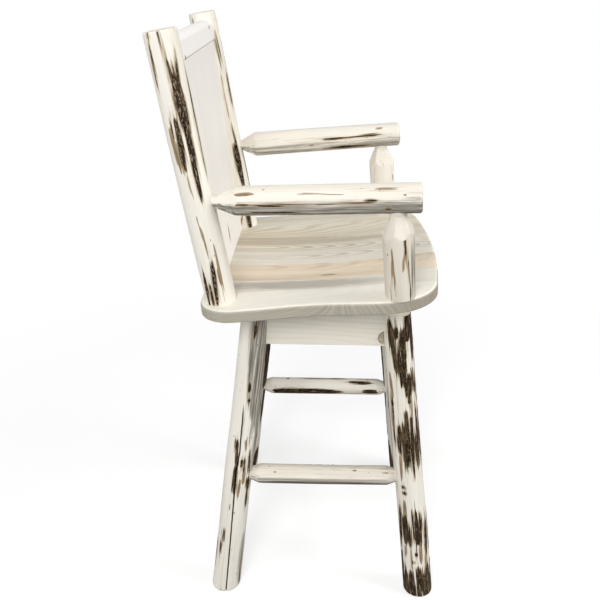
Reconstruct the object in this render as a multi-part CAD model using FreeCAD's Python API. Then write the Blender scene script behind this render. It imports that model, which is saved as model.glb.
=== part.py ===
import FreeCAD, Part
import math
import os
from FreeCAD import Placement, Rotation, Vector

# Swivel bar stool of peeled logs and pine boards, with arms and a boarded back.
# Millimetres. X points to the sitter's left, the front is -Y and Z is up from the floor.
# The origin is on the floor, under the middle of the overall width and depth.

# Seat
seat_height = 757.0          # top of the seat over the floor, at the swivel axis
seat_tilt = 4.75             # degrees, front edge raised
seat_t = 25.4
seat_front = 234.5           # swivel axis to the middle of the front edge
seat_rear = 250.0            # swivel axis to the rear edge
seat_half_front = 293.0      # half width behind the front corners
seat_half_rear = 290.0       # half width before the rear corners
seat_half_waist = 282.0      # half width where the sides draw in
seat_waist_y = 15.0          # place of the waist behind the swivel axis
seat_front_corner = 100.0    # plan radius
seat_rear_corner = 67.0      # plan radius
seat_front_bow = 1450.0      # plan radius of the front edge
seat_edge_round = 6.5        # upper edge
seat_under_round = 2.5       # lower edge
dish_half_w = 215.0          # half width of the dished part of the seat
dish_half_l = 215.0          # half length of the dished part
dish_front = 4.0             # middle of the dish before the swivel axis
dish_depth = 9.5
seat_joints = (-203.0, -138.0, -45.0, 35.0, 115.0, 200.0)   # glue lines, from the middle

# Back
post_d = 60.0
post_inset = 59.0            # post axis inside the side of the seat
post_rear_inset = 42.5       # post axis before the rear edge of the seat
post_lean = 4.83             # degrees back from square to the seat
post_len = 510.0             # along the post, above the seat
post_top_round = 3.0
post_tenon_d = 38.0
crest_t = 40.0
crest_h = 46.0
crest_crown = 13.0           # rise of the rounded top
crest_drop = 15.0            # crest top below the post top
crest_tenon_t = 18.0
crest_tenon_h = 22.0
crest_tenon_stop = 14.0      # tenon end short of the post axis
panel_t = 19.0
panel_rear_inset = 27.0      # middle of the boards before the rear edge of the seat
panel_lean = 1.94            # degrees back from square to the seat
panel_edge = 12.0            # edge of the boards short of the post axis
panel_tongue = 8.0           # depth of the boards in the crest rail
back_joints = (-105.0, 0.0, 105.0)

# Arms and their supports
arm_d = 55.0
arm_rear_h = 201.5           # arm axis over the seat, at the post axis
arm_front_h = 193.0          # arm axis over the seat, at the support
arm_overhang = 42.0          # front end of the arm past the support axis
arm_taper = 45.0
arm_sides = 8
arm_tenon_d = 25.0
arm_tenon_len = 20.0
arm_end_round = 3.0
support_d = 58.0
support_inset = 26.0         # support axis inside the side of the seat
support_front_inset = 92.5   # support axis behind the front edge of the seat
support_taper = 55.0
support_sides = 6
support_tenon_d = 26.0
support_tenon_len = 22.0
support_foot_d = 32.0        # tenon through the seat

# Base of four splayed logs
leg_foot_d = 64.5
leg_top_d = 59.5
leg_foot_half = 226.75       # half of the spacing between the leg axes, on the floor
leg_top_half = 146.0         # half of the spacing between the leg axes, at the top
foot_round = 6.0
apron_t = 28.0
apron_h = 74.0
apron_tenon_t = 12.0
apron_tenon_h = 30.0
apron_tenon_rise = 51.0      # middle of the tenons above the lower edge of the apron
apron_tenon_stop = 10.0      # tenon end short of the leg axis
pocket_d = 33.0
pocket_depth = 14.0
pocket_rise = 18.5           # pocket axis above the lower edge of the apron
pocket_set = 26.0            # pocket axis before the leg axis
stretcher_d = 46.5
stretcher_taper = 36.0
stretcher_sides = 8
stretcher_tenon_d = 25.0
stretcher_tenon_stop = 8.0   # tenon end short of the leg axis
side_stretcher_z = 296.0
end_stretcher_z = 230.0
base_board_t = 19.0
base_board_overhang = 3.5    # past the faces of the aprons
base_board_corner = 24.0
base_board_hole_d = 54.0

# Swivel
swivel_h = 30.5              # base board to the underside of the seat, at the axis
plate_w = 180.0
plate_t = 2.5
plate_corner = 14.0
race_r = 55.0                # radius of the ball circle
race_half = 7.5              # half width of each race
race_depth = 6.0             # height of the lower race over its plate
ball_d = 9.0
ball_count = 20
race_gap = 3.0               # slit between the two races
cage_t = 1.5
cage_half = 6.0              # half width of the ball cage
web_rise = 4.5               # underside of the upper web over the slit
rivet_d = 30.0
rivet_bore_d = 22.0
rivet_flange_d = 40.0
rivet_flange_t = 2.5
rivet_play = 0.3             # room under the upper flange

# Screws
screw_d = 5.0
screw_head_d = 10.0
screw_head_t = 3.0
plate_screw_offset = 72.0    # plate screws from the middle, both ways
plate_screw_len = 12.0
board_screw_offset = 70.0    # board screws from the middle of each apron
board_screw_len = 45.0
panel_screw_len = 60.0

# Fits
joint_clear = 0.15           # glue room around tenons, tongues and screws
end_clear = 1.0              # glue room past the end of a tenon
cope_clear = 0.2             # between a scribed end and the log
neck_show = 2.0              # tenon that shows between a log and a pared point
ball_clear = 0.1             # ball to race and to cage
running_clear = 0.08         # rivet to upper web, on the radius

# Worked out from the sizes above
tilt_cos = math.cos(math.radians(seat_tilt))
seat_under = seat_height - seat_t / tilt_cos
plate_z = seat_under - swivel_h
base_top = plate_z - base_board_t
apron_bottom = base_top - apron_h
apron_mid = base_top - apron_h / 2
post_half = seat_half_rear - post_inset
post_foot = seat_rear - post_rear_inset
panel_foot = seat_rear - panel_rear_inset
support_front = seat_front - support_front_inset
support_half = seat_half_front - support_inset
side_names = ("right", "front", "left", "rear")
leg_names = ("front_right", "front_left", "rear_left", "rear_right")
stretcher_heights = (side_stretcher_z, end_stretcher_z, side_stretcher_z, end_stretcher_z)
X_AXIS = Vector(1, 0, 0)
Z_AXIS = Vector(0, 0, 1)
far = 2000.0                 # larger than the stool, for cutting tools
lap = 1.0                    # how far joined shapes and cutting tools reach into each other


def leg_half(z):
    """Distance of a leg's axis from the swivel axis along X and along Y, at height z."""
    return leg_foot_half + (leg_top_half - leg_foot_half) * z / base_top


def leg_r(z):
    """Radius of a leg at height z."""
    return (leg_foot_d + (leg_top_d - leg_foot_d) * z / base_top) / 2


def post_y(height):
    """How far the post axis is behind the swivel axis, at a height over the seat."""
    return post_foot + height * math.tan(math.radians(post_lean))


seat_frame = Placement(Vector(0, 0, seat_height), Rotation(X_AXIS, -seat_tilt))
post_frame = Placement(Vector(0, post_foot, 0), Rotation(X_AXIS, -post_lean))
panel_frame = Placement(Vector(0, panel_foot, 0), Rotation(X_AXIS, -panel_lean))

post_rear = post_frame.multVec(Vector(0, post_d / 2, post_len))
rear_reach = seat_frame.multVec(post_rear).y
front_reach = leg_half(0) + leg_r(0)
axis_y = (front_reach - rear_reach) / 2


def placed(shape, frame):
    """A copy of the shape, carried from a local frame to the frame around it."""
    moved = shape.copy()
    moved.Placement = frame.multiply(moved.Placement)
    return moved


def turned(shape, quarter):
    """A copy turned by quarters about the swivel axis."""
    return placed(shape, Placement(Vector(0, 0, 0), Rotation(Z_AXIS, 90.0 * quarter)))


def largest(shape):
    """The one solid of a cut or joined shape."""
    return max(shape.removeSplitter().Solids, key=lambda solid: solid.Volume)


def block(low, high):
    """A box between two corners."""
    size = high - low
    return Part.makeBox(size.x, size.y, size.z, low)


def rod(d, low, high, frame=Placement()):
    """A round bar along the local Z."""
    return placed(Part.makeCylinder(d / 2, high - low, Vector(0, 0, low)), frame)


def ring(r_in, r_out, low, high):
    """A flat ring about the swivel axis."""
    outer = Part.makeCylinder(r_out, high - low, Vector(0, 0, low))
    return outer.cut(Part.makeCylinder(r_in, high - low, Vector(0, 0, low)))


def rounded_plate(width, corner, low, high):
    """A square plate about the swivel axis, with rounded corners."""
    half = width / 2
    plate = block(Vector(-half, -half, low), Vector(half, half, high))
    upright = [edge for edge in plate.Edges if abs(edge.tangentAt(edge.FirstParameter).z) > 0.9]
    return plate.makeFillet(corner, upright)


def rounded_at(shape, z, radius):
    """Rounds the edges that lie at height z."""
    rim = [edge for edge in shape.Edges
           if abs(edge.BoundBox.ZMin - z) < 1e-4 and abs(edge.BoundBox.ZMax - z) < 1e-4]
    return shape.makeFillet(radius, rim)


def regular_polygon(apothem, sides, z):
    """A closed polygon about the local Z, given by the distance to its sides."""
    corner = apothem / math.cos(math.pi / sides)
    points = []
    for side in range(sides + 1):
        angle = 2 * math.pi * (side % sides + 0.5) / sides
        points.append(Vector(corner * math.cos(angle), corner * math.sin(angle), z))
    return Part.makePolygon(points)


def shavings(d, tip_d, taper, sides):
    """What is pared off a log's end at z = 0 to leave a faceted point of tip_d."""
    tip_apothem = tip_d / 2 * math.cos(math.pi / sides)
    reach = taper + d / 4
    end_apothem = tip_apothem + (d / 2 - tip_apothem) * reach / taper
    point = Part.makeLoft([regular_polygon(tip_apothem, sides, 0),
                           regular_polygon(end_apothem, sides, reach)], True, True)
    return Part.makeCylinder(d / 2 + lap, reach).cut(point)


def facing(start, direction):
    """A frame at start, with its Z along the direction."""
    return Placement(start, Rotation(Z_AXIS, direction))


# Screws, each along the local Z with its head seated at z = 0

def pan_screw(length):
    """A pan head above z = 0 and the shank below."""
    shank = rod(screw_d, -length, 0)
    head = rounded_at(rod(screw_head_d, 0, screw_head_t), screw_head_t, screw_head_t / 3)
    return largest(shank.fuse(head))


def flat_screw(length):
    """A countersunk head flush with z = 0 and the shank below."""
    shank = rod(screw_d, -length, 0)
    head = Part.makeCone(screw_d / 2, screw_head_d / 2, screw_head_t, Vector(0, 0, -screw_head_t))
    return largest(shank.fuse(head))


def screw_room(length):
    """The hole that the shank of a screw needs."""
    return rod(screw_d + 2 * joint_clear, -length - end_clear, lap)


def countersunk_room(length):
    """The hole and countersink that a flat screw needs."""
    sink = Part.makeCone(screw_d / 2 + joint_clear, screw_head_d / 2 + joint_clear, screw_head_t,
                         Vector(0, 0, -screw_head_t))
    return rod(screw_d + 2 * joint_clear, -length - end_clear, 0).fuse(sink)


# Places of the screws

def plate_corners():
    """The four screw places of a swivel plate."""
    offset = plate_screw_offset
    return [Vector(x, y, 0) for x in (-offset, offset) for y in (-offset, offset)]


lower_screw_frames = [Placement(corner + Vector(0, 0, plate_z + plate_t), Rotation())
                      for corner in plate_corners()]
upper_screw_frames = [Placement(corner - Vector(0, 0, seat_t + plate_t), Rotation(X_AXIS, 180))
                      for corner in plate_corners()]
board_screw_frames = [Placement(Vector(-leg_half(apron_mid), y, plate_z), Rotation())
                      for y in (-board_screw_offset, board_screw_offset)]
panel_edges = (panel_edge - post_half,) + back_joints + (post_half - panel_edge,)
panel_screw_frames = [Placement(Vector((left + right) / 2, panel_foot, -seat_t), Rotation(X_AXIS, 180))
                      for left, right in zip(panel_edges, panel_edges[1:])]

apron_face = -leg_half(apron_mid) - apron_t / 2
pocket_z = apron_bottom + pocket_rise
pocket_y = pocket_set - leg_half(pocket_z)


# Base, worked out for the right side and turned by quarters for the others

def leg_log(grow):
    """The front right leg's round, longer than the leg, grown by a gap for scribing boards to it."""
    start = Vector(-leg_half(0), -leg_half(0), 0)
    end = Vector(-leg_half(base_top), -leg_half(base_top), base_top)
    way = (end - start).normalize()
    length = (end - start).Length
    extra = leg_foot_d / 4
    growth = (leg_foot_d - leg_top_d) / 2 / length * extra
    return Part.makeCone(leg_foot_d / 2 + growth + grow, leg_top_d / 2 - growth + grow,
                         length + 2 * extra, start - way * extra, way)


def plain_leg():
    """The front right leg before its mortises are cut, level at the floor and at the top."""
    log = leg_log(0).common(block(Vector(-far, -far, 0), Vector(far, far, base_top)))
    return rounded_at(log, 0, foot_round)


def apron_tenon(room, end_room):
    """The bar of the right apron's two tenons."""
    x = leg_half(apron_mid)
    y = x - apron_tenon_stop + end_room
    z = apron_bottom + apron_tenon_rise
    half_t = apron_tenon_t / 2 + room
    half_h = apron_tenon_h / 2 + room
    return block(Vector(-x - half_t, -y, z - half_h), Vector(-x + half_t, y, z + half_h))


def apron():
    """The right apron: scribed ends, tenons, a bored pocket and holes for the board's screws."""
    x = leg_half(apron_mid)
    board = block(Vector(apron_face, -x, apron_bottom), Vector(apron_face + apron_t, x, base_top))
    board = board.cut(leg_log(cope_clear)).cut(turned(leg_log(cope_clear), 3))
    board = largest(board).fuse(apron_tenon(0, 0))
    pocket = placed(Part.makeCylinder(pocket_d / 2, pocket_depth),
                    facing(Vector(apron_face, pocket_y, pocket_z), X_AXIS))
    board = board.cut(pocket)
    for frame in board_screw_frames:
        board = board.cut(placed(screw_room(board_screw_len), frame))
    return largest(board)


def stretcher_tenon(z, room, end_room):
    """The bar of a right stretcher's two tenons."""
    y = leg_half(z) - stretcher_tenon_stop + end_room
    frame = facing(Vector(-leg_half(z), 0, z), Vector(0, 1, 0))
    return rod(stretcher_tenon_d + 2 * room, -y, y, frame)


def stretcher(z):
    """A right stretcher at height z, pared to a point at both ends."""
    half = leg_half(z) - leg_r(z) - neck_show
    pared = shavings(stretcher_d, stretcher_tenon_d, stretcher_taper, stretcher_sides)
    bar = rod(stretcher_d, -half, half)
    bar = bar.cut(placed(pared, Placement(Vector(0, 0, -half), Rotation())))
    bar = bar.cut(placed(pared, Placement(Vector(0, 0, half), Rotation(X_AXIS, 180))))
    bar = placed(largest(bar), facing(Vector(-leg_half(z), 0, z), Vector(0, 1, 0)))
    return largest(bar.fuse(stretcher_tenon(z, 0, 0)))


def leg(own_z, next_z):
    """The front right leg, with mortises for its two aprons and two stretchers."""
    log = plain_leg()
    mortises = [apron_tenon(joint_clear, end_clear),
                turned(apron_tenon(joint_clear, end_clear), 1),
                stretcher_tenon(own_z, joint_clear, end_clear),
                turned(stretcher_tenon(next_z, joint_clear, end_clear), 1)]
    for mortise in mortises:
        log = log.cut(mortise)
    return largest(log)


def base_board():
    """The square board on top of the legs and aprons that carries the swivel."""
    width = 2 * (base_board_overhang - apron_face)
    board = rounded_plate(width, base_board_corner, base_top, plate_z)
    board = board.cut(rod(base_board_hole_d, base_top, plate_z))
    for quarter in range(4):
        for frame in board_screw_frames:
            board = board.cut(turned(placed(countersunk_room(board_screw_len), frame), quarter))
    for frame in lower_screw_frames:
        board = board.cut(placed(screw_room(plate_screw_len), frame))
    return largest(board)


# Swivel

ball_z = plate_z + plate_t + race_depth + race_gap / 2
lower_race_top = ball_z - race_gap / 2
upper_race_bottom = ball_z + race_gap / 2
web_low = upper_race_bottom + web_rise
web_high = web_low + plate_t


def ball_groove():
    """The ring that the balls run in."""
    return Part.makeTorus(race_r, ball_d / 2 + ball_clear, Vector(0, 0, ball_z))


def lower_plate():
    """The fixed plate, with the lower race raised on it."""
    plate = rounded_plate(plate_w, plate_corner, plate_z, plate_z + plate_t)
    race = ring(race_r - race_half, race_r + race_half, plate_z + plate_t / 2, lower_race_top)
    plate = plate.fuse(race).cut(ball_groove())
    plate = plate.cut(rod(rivet_d + 2 * joint_clear, plate_z, plate_z + plate_t))
    for frame in lower_screw_frames:
        plate = plate.cut(placed(screw_room(plate_screw_len), frame))
    return largest(plate)


def upper_plate():
    """The turning plate: it lies flat on the tilted seat, over a wedge-shaped drum."""
    low = -seat_t - plate_t
    inner = race_r - race_half
    plate = rounded_plate(plate_w, plate_corner, low, -seat_t).cut(rod(2 * inner, low, -seat_t))
    for frame in upper_screw_frames:
        plate = plate.cut(placed(screw_room(plate_screw_len + plate_t), frame))
    above = block(Vector(-far, -far, low + plate_t / 2), Vector(far, far, far))
    drum = ring(inner, race_r + race_half, upper_race_bottom, seat_height)
    drum = drum.cut(placed(above, seat_frame))
    web = ring(rivet_d / 2 + running_clear, race_r, web_low, web_high)
    return largest(drum.fuse(web).fuse(placed(plate, seat_frame)).cut(ball_groove()))


def balls():
    """The bearing balls on their circle."""
    solids = []
    for index in range(ball_count):
        angle = 2 * math.pi * index / ball_count
        centre = Vector(race_r * math.cos(angle), race_r * math.sin(angle), ball_z)
        solids.append(Part.makeSphere(ball_d / 2, centre))
    return solids


def ball_cage():
    """The thin ring that spaces the balls."""
    cage = ring(race_r - cage_half, race_r + cage_half, ball_z - cage_t / 2, ball_z + cage_t / 2)
    for index in range(ball_count):
        angle = 2 * math.pi * index / ball_count
        centre = Vector(race_r * math.cos(angle), race_r * math.sin(angle), 0)
        hole = rod(ball_d + 2 * ball_clear, ball_z - cage_t, ball_z + cage_t, Placement(centre, Rotation()))
        cage = cage.cut(hole)
    return largest(cage)


def pivot_rivet():
    """The hollow rivet that holds the two plates together and that the seat turns on."""
    top = web_high + rivet_play
    tube = rod(rivet_d, plate_z - rivet_flange_t, top + rivet_flange_t)
    flanges = [rod(rivet_flange_d, plate_z - rivet_flange_t, plate_z),
               rod(rivet_flange_d, top, top + rivet_flange_t)]
    tube = tube.multiFuse(flanges)
    return largest(tube.cut(rod(rivet_bore_d, plate_z - rivet_flange_t, top + rivet_flange_t)))


# Seat and back, worked out in the seat's frame: z = 0 on the seat, at the swivel axis

def seat_outline():
    """The closed outline of the seat, with tangent arcs at the corners and drawn-in sides."""
    front_x = seat_half_front - seat_front_corner
    bow_y = seat_front_bow - seat_front
    front_y = bow_y - math.sqrt((seat_front_bow - seat_front_corner) ** 2 - front_x ** 2)
    rear_x = seat_half_rear - seat_rear_corner
    rear_y = seat_rear - seat_rear_corner
    bow_angle = math.atan2(front_x, bow_y - front_y)
    edges = [Part.LineSegment(Vector(-rear_x, seat_rear, 0), Vector(rear_x, seat_rear, 0))]
    for side in (1, -1):
        def at(x, y):
            return Vector(side * x, y, 0)

        def on_corner(centre_x, centre_y, radius, angle):
            return at(centre_x + radius * math.cos(angle), centre_y + radius * math.sin(angle))

        rear_mid = on_corner(rear_x, rear_y, seat_rear_corner, math.pi / 4)
        edges.append(Part.Arc(at(rear_x, seat_rear), rear_mid, at(seat_half_rear, rear_y)))
        flank = Part.BSplineCurve()
        flank.interpolate(Points=[at(seat_half_rear, rear_y), at(seat_half_waist, seat_waist_y),
                                  at(seat_half_front, front_y)],
                          InitialTangent=Vector(0, -1, 0), FinalTangent=Vector(0, -1, 0))
        edges.append(flank)
        last = bow_angle - math.pi / 2
        corner_mid = on_corner(front_x, front_y, seat_front_corner, last / 2)
        corner_end = on_corner(front_x, front_y, seat_front_corner, last)
        edges.append(Part.Arc(at(seat_half_front, front_y), corner_mid, corner_end))
    edges.append(Part.Arc(Vector(-corner_end.x, corner_end.y, 0), Vector(0, -seat_front, 0), corner_end))
    return Part.Wire(Part.__sortEdges__([edge.toShape() for edge in edges]))


def dish_z(x_share, y_share):
    """Height of the dish: steep near its sides, a plain hollow from front to rear."""
    return dish_depth * (x_share ** 4 + y_share ** 2 - 1)


def dish():
    """What is scooped out of the seat's top."""
    steps = 12
    reach = 1.05
    shares = [reach * (2 * step / steps - 1) for step in range(steps + 1)]
    grid = [[Vector(dish_half_w * x, dish_half_l * y - dish_front, dish_z(x, y)) for y in shares]
            for x in shares]
    surface = Part.BSplineSurface()
    surface.interpolate(grid)
    return surface.toShape().extrude(Vector(0, 0, 3 * dish_depth))


def whole_seat():
    """The seat before it is parted along its glue lines."""
    slab = Part.Face(seat_outline()).extrude(Vector(0, 0, -seat_t))
    slab = rounded_at(rounded_at(slab, 0, seat_edge_round), -seat_t, seat_under_round)
    slab = slab.cut(dish())
    for side in (-1, 1):
        slab = slab.cut(post_tenon(side, joint_clear, lap))
        slab = slab.cut(support_foot(side, joint_clear, lap))
    for frame in upper_screw_frames:
        slab = slab.cut(placed(screw_room(plate_screw_len + plate_t), frame))
    for frame in panel_screw_frames:
        slab = slab.cut(placed(countersunk_room(panel_screw_len), frame))
    return slab


def parted(shape, joints):
    """The pieces of a glued-up board, parted at places along X."""
    edges = (-far,) + joints + (far,)
    return [largest(shape.common(block(Vector(left, -far, -far), Vector(right, far, far))))
            for left, right in zip(edges, edges[1:])]


def post_tenon(side, room, end_room):
    """The round tenon under a back post, through the seat."""
    frame = post_frame.multiply(Placement(Vector(side * post_half, 0, 0), Rotation()))
    bar = rod(post_tenon_d + 2 * room, -2 * seat_t, seat_t, frame)
    return bar.common(block(Vector(-far, -far, -seat_t - end_room), Vector(far, far, lap)))


def plain_post(side):
    """A back post's log, cut to stand on the seat."""
    frame = post_frame.multiply(Placement(Vector(side * post_half, 0, 0), Rotation()))
    log = rounded_at(rod(post_d, -post_d, post_len), post_len, post_top_round)
    return placed(log, frame).cut(block(Vector(-far, -far, -far), Vector(far, far, 0)))


def back_post(side):
    """A back post with its tenon, its mortises and the groove for the boards."""
    log = plain_post(side).fuse(post_tenon(side, 0, 0))
    log = log.cut(arm_tenon(side, joint_clear, end_clear))
    log = log.cut(placed(crest_tenon(joint_clear, end_clear), post_frame))
    return largest(log.cut(whole_panel(joint_clear)))


def crest_tenon(room, end_room):
    """The bar of the crest rail's two tenons, in the posts' frame."""
    half_x = post_half - crest_tenon_stop + end_room
    middle = post_len - crest_drop - crest_h / 2
    half_h = crest_tenon_h / 2 + room
    half_t = crest_tenon_t / 2 + room
    return block(Vector(-half_x, -half_t, middle - half_h), Vector(half_x, half_t, middle + half_h))


def crest_rail():
    """The rail with a rounded top between the posts, scribed to them."""
    low = post_len - crest_drop - crest_h
    high = post_len - crest_drop
    half = crest_t / 2
    start = -post_half
    corners = [Vector(start, -half, high - crest_crown), Vector(start, -half, low),
               Vector(start, half, low), Vector(start, half, high - crest_crown)]
    crown = Part.Arc(corners[3], Vector(start, 0, high), corners[0])
    outline = Part.Wire([Part.makePolygon(corners), crown.toShape()])
    rail = Part.Face(outline).extrude(Vector(2 * post_half, 0, 0))
    for side in (-1, 1):
        rail = rail.cut(rod(post_d + 2 * cope_clear, 0, post_len,
                            Placement(Vector(side * post_half, 0, 0), Rotation())))
    rail = placed(largest(rail).fuse(crest_tenon(0, 0)), post_frame)
    return largest(rail.cut(whole_panel(joint_clear)))


def whole_panel(room):
    """The boards of the back before they are parted, with room all round for a groove."""
    half = post_half - panel_edge + room
    crest_low = post_frame.multVec(Vector(0, 0, post_len - crest_drop - crest_h)).z
    top = crest_low / math.cos(math.radians(panel_lean)) + panel_tongue + room
    half_t = panel_t / 2 + room
    slab = placed(block(Vector(-half, -half_t, -panel_t), Vector(half, half_t, top)), panel_frame)
    return slab.cut(block(Vector(-far, -far, -far), Vector(far, far, 0)))


def back_boards():
    """The upright boards of the back, with holes for the screws from under the seat."""
    slab = whole_panel(0)
    for frame in panel_screw_frames:
        slab = slab.cut(placed(screw_room(panel_screw_len), frame))
    return parted(slab, back_joints)


def arm_frame(side):
    """The frame of an arm: its Z runs from the post axis to the front end."""
    start = Vector(side * post_half, post_y(arm_rear_h), arm_rear_h)
    over_support = Vector(side * support_half, -support_front, arm_front_h)
    return facing(start, over_support - start), (over_support - start).Length


def arm_tenon(side, room, end_room):
    """The round tenon at the rear of an arm."""
    frame, length = arm_frame(side)
    inner = post_d / 2 - arm_tenon_len
    return rod(arm_tenon_d + 2 * room, inner - end_room, post_d / 2 + neck_show + lap, frame)


def arm(side):
    """An arm, pared to a point at the rear, cut square in front, bored for its support."""
    frame, length = arm_frame(side)
    start = post_d / 2 + neck_show
    end = length + arm_overhang
    log = rounded_at(rod(arm_d, start, end), end, arm_end_round)
    pared = shavings(arm_d, arm_tenon_d, arm_taper, arm_sides)
    log = largest(log.cut(placed(pared, Placement(Vector(0, 0, start), Rotation()))))
    log = placed(log, frame).fuse(arm_tenon(side, 0, 0))
    return largest(log.cut(support_head(side, joint_clear, end_clear)))


def support_frame(side):
    """The frame of a support, square to the seat."""
    return Placement(Vector(side * support_half, -support_front, 0), Rotation())


def support_foot(side, room, end_room):
    """The tenon of a support, through the seat."""
    return rod(support_foot_d + 2 * room, -seat_t - end_room, lap, support_frame(side))


def support_head(side, room, end_room):
    """The tenon of a support, in the arm."""
    low = arm_front_h - arm_d / 2
    return rod(support_tenon_d + 2 * room, low - neck_show - lap, low + support_tenon_len + end_room,
               support_frame(side))


def arm_support(side):
    """A support: a log with a faceted point, with a tenon at each end."""
    top = arm_front_h - arm_d / 2 - neck_show
    pared = shavings(support_d, support_tenon_d, support_taper, support_sides)
    log = rod(support_d, 0, top).cut(placed(pared, Placement(Vector(0, 0, top), Rotation(X_AXIS, 180))))
    log = placed(largest(log), support_frame(side))
    return largest(log.fuse(support_foot(side, 0, 0)).fuse(support_head(side, 0, 0)))


# Writing the pieces

def save(node, shapes, frame=Placement()):
    """Writes one node, a single solid or a group of alike solids."""
    shift = Placement(Vector(0, axis_y, 0), Rotation())
    moved = [placed(shape, shift.multiply(frame)) for shape in shapes]
    whole = moved[0] if len(moved) == 1 else Part.makeCompound(moved)
    whole.exportStep("parts/%s.step" % node)


def save_base():
    """The pieces that stand on the floor."""
    for quarter, name in enumerate(leg_names):
        own_z = stretcher_heights[quarter]
        next_z = stretcher_heights[(quarter + 1) % 4]
        save("leg_" + name, [turned(leg(own_z, next_z), quarter)])
    for quarter, name in enumerate(side_names):
        save("apron_" + name, [turned(apron(), quarter)])
        save("stretcher_" + name, [turned(stretcher(stretcher_heights[quarter]), quarter)])
    save("base_board", [base_board()])
    save("base_board_screws", [turned(placed(flat_screw(board_screw_len), frame), quarter)
                               for quarter in range(4) for frame in board_screw_frames])


def save_swivel():
    """The swivel between the base and the seat."""
    save("swivel_lower_plate", [lower_plate()])
    save("swivel_base_screws", [placed(pan_screw(plate_screw_len), frame) for frame in lower_screw_frames])
    save("swivel_rivet", [pivot_rivet()])
    save("bearing_balls", balls())
    save("ball_cage", [ball_cage()])
    save("swivel_upper_plate", [upper_plate()])
    save("swivel_seat_screws", [placed(pan_screw(plate_screw_len + plate_t), frame)
                                for frame in upper_screw_frames], seat_frame)


def save_seat():
    """The pieces that turn with the seat."""
    for number, board in enumerate(parted(whole_seat(), seat_joints), 1):
        save("seat_board_%d" % number, [board], seat_frame)
    for number, board in enumerate(back_boards(), 1):
        save("back_board_%d" % number, [board], seat_frame)
    save("back_board_screws", [placed(flat_screw(panel_screw_len), frame)
                               for frame in panel_screw_frames], seat_frame)
    save("crest_rail", [crest_rail()], seat_frame)
    for side, name in ((-1, "right"), (1, "left")):
        save("back_post_" + name, [back_post(side)], seat_frame)
        save("arm_" + name, [arm(side)], seat_frame)
        save("arm_support_" + name, [arm_support(side)], seat_frame)


os.makedirs("parts", exist_ok=True)
save_base()
save_swivel()
save_seat()
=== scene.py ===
import math
import random
from collections import namedtuple

import bpy
import numpy as np
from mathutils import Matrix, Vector, noise


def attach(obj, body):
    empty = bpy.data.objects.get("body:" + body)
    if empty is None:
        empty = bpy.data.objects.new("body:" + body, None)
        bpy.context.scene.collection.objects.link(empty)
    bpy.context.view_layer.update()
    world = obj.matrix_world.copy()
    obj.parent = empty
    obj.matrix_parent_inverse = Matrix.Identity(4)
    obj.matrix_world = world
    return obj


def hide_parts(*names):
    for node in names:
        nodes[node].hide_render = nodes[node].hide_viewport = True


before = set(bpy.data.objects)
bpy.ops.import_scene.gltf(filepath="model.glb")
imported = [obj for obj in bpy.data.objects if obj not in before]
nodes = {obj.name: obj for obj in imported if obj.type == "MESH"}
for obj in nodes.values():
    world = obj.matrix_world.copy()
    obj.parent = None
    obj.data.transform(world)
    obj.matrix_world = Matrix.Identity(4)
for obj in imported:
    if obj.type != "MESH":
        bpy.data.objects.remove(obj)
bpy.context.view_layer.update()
scene = bpy.context.scene
scene.view_settings.view_transform = "Standard"

# Places and sizes, in metres
AXIS_Y = -0.0311227
SEAT_HEIGHT = 0.757
SEAT_TILT = math.radians(4.75)
SEAT_T = 0.0254
BASE_TOP = 0.6820125
LEG_FOOT_HALF = 0.22675
LEG_TOP_HALF = 0.146
LEG_FOOT_R = 0.03225
LEG_TOP_R = 0.02975
FOOT_ROUND = 0.006
LEG_TOP_ROUND = 0.0005
POST_HALF = 0.231
POST_FOOT = 0.2075
POST_LEAN = math.radians(4.83)
POST_LEN = 0.510
POST_R = 0.030
POST_TENON_R = 0.019
ARM_R = 0.0275
ARM_REAR_H = 0.2015
ARM_FRONT_H = 0.193
ARM_OVERHANG = 0.045
ARM_END_ROUND = 0.0055
ARM_TAPER_RIGHT = 0.045
ARM_TAPER_LEFT = 0.031
ARM_FACETS = 8
ARM_FACET_TURN = 0.3
ARM_TENON_R = 0.0125
ARM_TENON_LEN = 0.022
SUPPORT_HALF = 0.267
SUPPORT_FRONT = 0.142
SUPPORT_FOOT_END_R = 0.0285
SUPPORT_TOP_END_R = 0.0306
SUPPORT_TAPER = 0.042
SUPPORT_FACETS = 6
SUPPORT_TIP_R_RIGHT = 0.0160
SUPPORT_TIP_R_LEFT = 0.0140
SUPPORT_TENON_LEN = 0.024
SUPPORT_FOOT_R = 0.016
STRETCHER_R = 0.0217
STRETCHER_TAPER = 0.024
STRETCHER_FACETS = 8
STRETCHER_FACET_TURN = 0.2
STRETCHER_TENON_R = 0.0146
STRETCHER_SINK = 0.002   # how far a stretcher's point enters the leg
STRETCHER_TENON_STOP = 0.008   # tenon end short of the leg axis
SIDE_STRETCHER_Z = 0.296
END_STRETCHER_Z = 0.230
NECK = 0.002   # tenon that shows between a log and a pared point
CUT_ROUND = 0.003
TOWARDS_CAMERA = Vector((-1, 0, 0))
FORWARD = Vector((0, -1, 0))
UP = Vector((0, 0, 1))
SEAT_NORMAL = Vector((0, math.sin(SEAT_TILT), math.cos(SEAT_TILT)))

# Mesh fineness of the logs
MM = 0.001
COLUMNS = 72
ROW_STEP = 0.003
CAP_SHARES = (0.0, 0.3, 0.6, 0.85)   # rings of an end, as shares of its radius
RIM_STEPS = 4
FACET_ANGLE = math.radians(16)       # edges sharper than this stay sharp

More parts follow.
